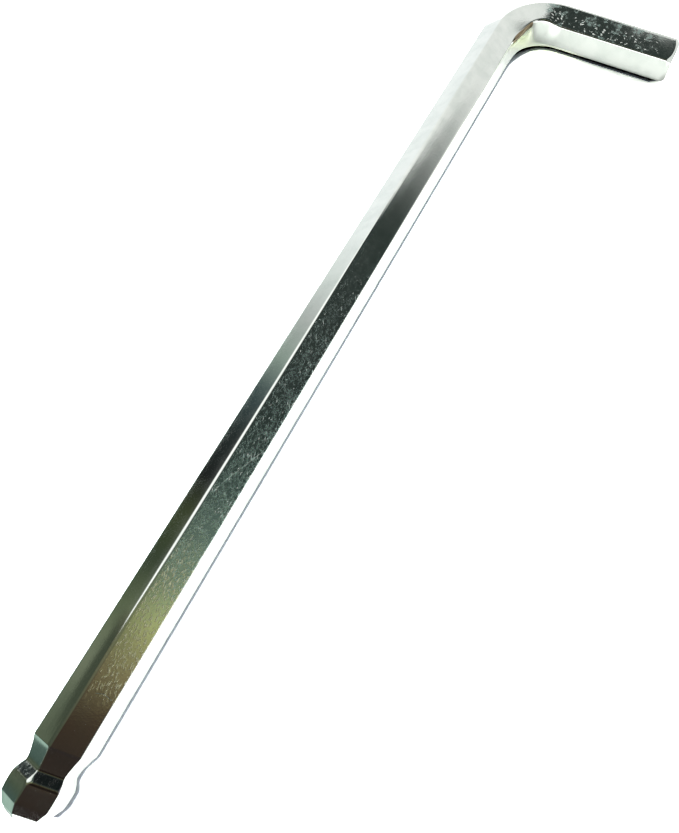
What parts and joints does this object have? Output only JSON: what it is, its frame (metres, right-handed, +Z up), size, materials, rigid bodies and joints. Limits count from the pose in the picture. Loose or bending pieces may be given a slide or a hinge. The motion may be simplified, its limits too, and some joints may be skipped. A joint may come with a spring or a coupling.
{
  "type": "hex key",
  "caption": "L-shaped hexagonal key, bent from one bar, with a plain chamfered short end and a necked ball end on the long arm.",
  "frame": {"origin": "on the bench, under the middle of the key's bounding box, as it lies on the lowest edges of its two arms", "axes": "+Z up, +Y along the long arm from the ball to the bend, +X along the short arm to its tip"},
  "size_m": [0.032, 0.144, 0.0068],
  "materials": {
    "plated_steel": "bright nickel plate over drawn steel, with fine draw lines, specks and light handling scratches"
  },
  "bodies": {
    "root": {"hex_key": "plated_steel"}
  },
  "joints": []
}
